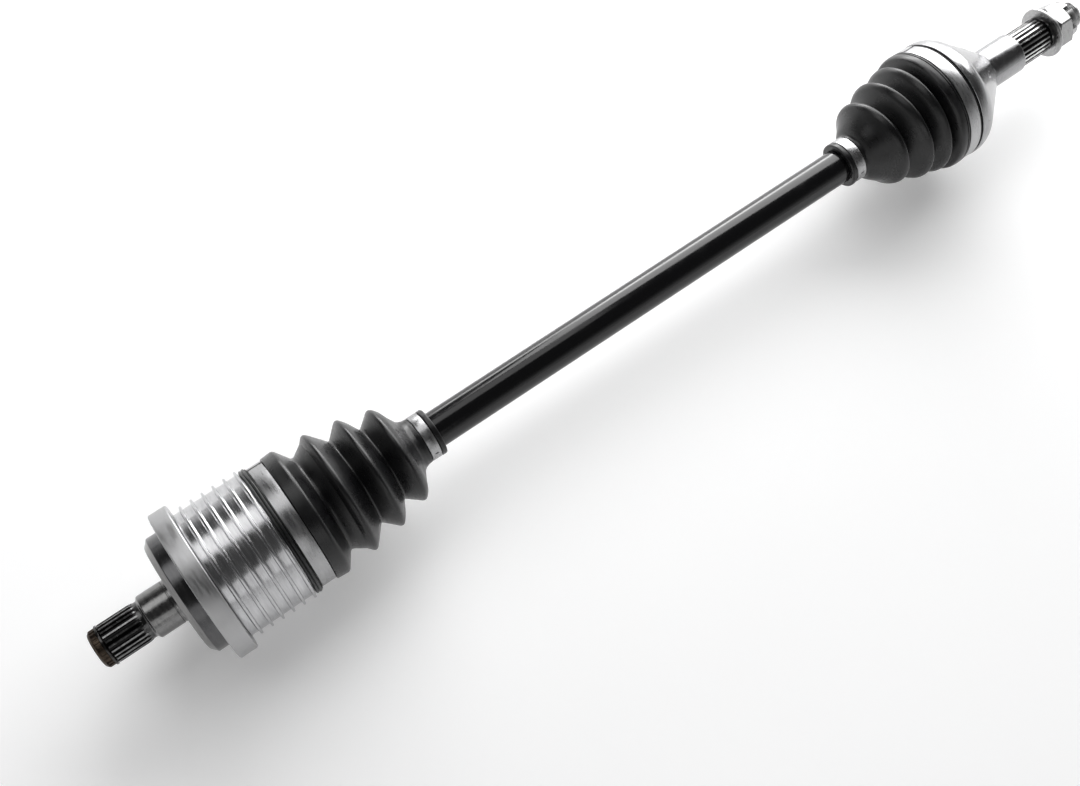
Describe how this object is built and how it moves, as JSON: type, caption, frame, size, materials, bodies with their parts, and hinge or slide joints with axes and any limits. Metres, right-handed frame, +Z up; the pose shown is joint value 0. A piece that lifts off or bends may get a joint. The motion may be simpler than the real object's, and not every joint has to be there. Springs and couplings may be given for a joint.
{
  "type": "cv axle",
  "caption": "Drive shaft with a plunging ball joint in a finned housing at one end, a fixed ball joint at the other, rubber boots and splined ends",
  "frame": {"origin": "on the shaft's axis, halfway between its two ends", "axes": "+X along the bar from the gearbox end to the hub end, +Z up"},
  "size_m": [0.798, 0.1024, 0.1024],
  "materials": {
    "black_paint": "gloss black paint with faint orange peel",
    "machined_steel": "bright turned steel with fine tool rings",
    "ring_steel": "satin turned steel",
    "oiled_steel": "dark oiled hardened steel",
    "clamp_steel": "satin stainless band",
    "ball_steel": "polished bearing steel",
    "plated_steel": "bright zinc plate",
    "boot_rubber": "satin moulded rubber"
  },
  "bodies": {
    "axle_bar": {"axle_bar": "black_paint", "inner_race": "oiled_steel", "inner_race_circlip": "oiled_steel", "inner_boot_small_clamp": "clamp_steel", "outer_race": "oiled_steel", "outer_race_circlip": "oiled_steel", "outer_boot_small_clamp": "clamp_steel", "outer_boot": "boot_rubber"},
    "inner_boot": {"inner_boot": "boot_rubber", "inner_ball_1": "ball_steel"},
    "inner_housing": {"inner_housing": "machined_steel", "inner_dust_ring": "ring_steel", "inner_stub_circlip": "oiled_steel", "inner_stop_ring": "oiled_steel", "inner_boot_large_clamp": "clamp_steel"},
    "inner_cage": {"inner_cage": "oiled_steel", "inner_ball_2": "ball_steel", "inner_ball_3": "ball_steel", "inner_ball_4": "ball_steel", "inner_ball_5": "ball_steel", "inner_ball_6": "ball_steel"},
    "outer_housing": {"outer_housing": "machined_steel", "outer_boot_large_clamp": "clamp_steel"},
    "outer_cage": {"outer_cage": "oiled_steel", "outer_ball_1": "ball_steel", "outer_ball_2": "ball_steel", "outer_ball_3": "ball_steel", "outer_ball_4": "ball_steel", "outer_ball_5": "ball_steel", "outer_ball_6": "ball_steel"},
    "hub_washer": {"hub_washer": "plated_steel"},
    "hub_nut": {"hub_nut": "plated_steel"}
  },
  "joints": [
    {"name": "inner_bend", "type": "hinge", "parent": "axle_bar", "child": "inner_boot", "pos_m": [-0.284, 0, 0], "axis": [0, 1, 0], "range_deg": [-15, 15], "deforming": ["inner_boot"]},
    {"name": "inner_plunge", "type": "slide", "parent": "inner_boot", "child": "inner_housing", "axis": [1, 0, 0], "range_m": [-0.01, 0.012]},
    {"name": "inner_cage_tilt", "type": "hinge", "parent": "axle_bar", "child": "inner_cage", "pos_m": [-0.284, 0, 0], "axis": [0, 1, 0], "range_deg": [-7.5, 7.5]},
    {"name": "outer_bend", "type": "hinge", "parent": "axle_bar", "child": "outer_housing", "pos_m": [0.274, 0, 0], "axis": [0, 1, 0], "range_deg": [-32, 32], "deforming": ["outer_boot"]},
    {"name": "outer_cage_tilt", "type": "hinge", "parent": "axle_bar", "child": "outer_cage", "pos_m": [0.274, 0, 0], "axis": [0, 1, 0], "range_deg": [-16, 16]},
    {"name": "hub_nut_travel", "type": "slide", "parent": "outer_housing", "child": "hub_washer", "axis": [1, 0, 0], "range_m": [0, 0.0045]},
    {"name": "hub_nut_turn", "type": "hinge", "parent": "hub_washer", "child": "hub_nut", "pos_m": [0.379, 0, 0], "axis": [-1, 0, 0], "range_deg": [0, 1080]}
  ],
  "couplings": [
    {"joint": "inner_cage_tilt", "follows": "inner_bend", "ratio": 0.5},
    {"joint": "outer_cage_tilt", "follows": "outer_bend", "ratio": 0.5},
    {"joint": "hub_nut_travel", "follows": "hub_nut_turn", "m_per_rad": 0.00023873}
  ]
}
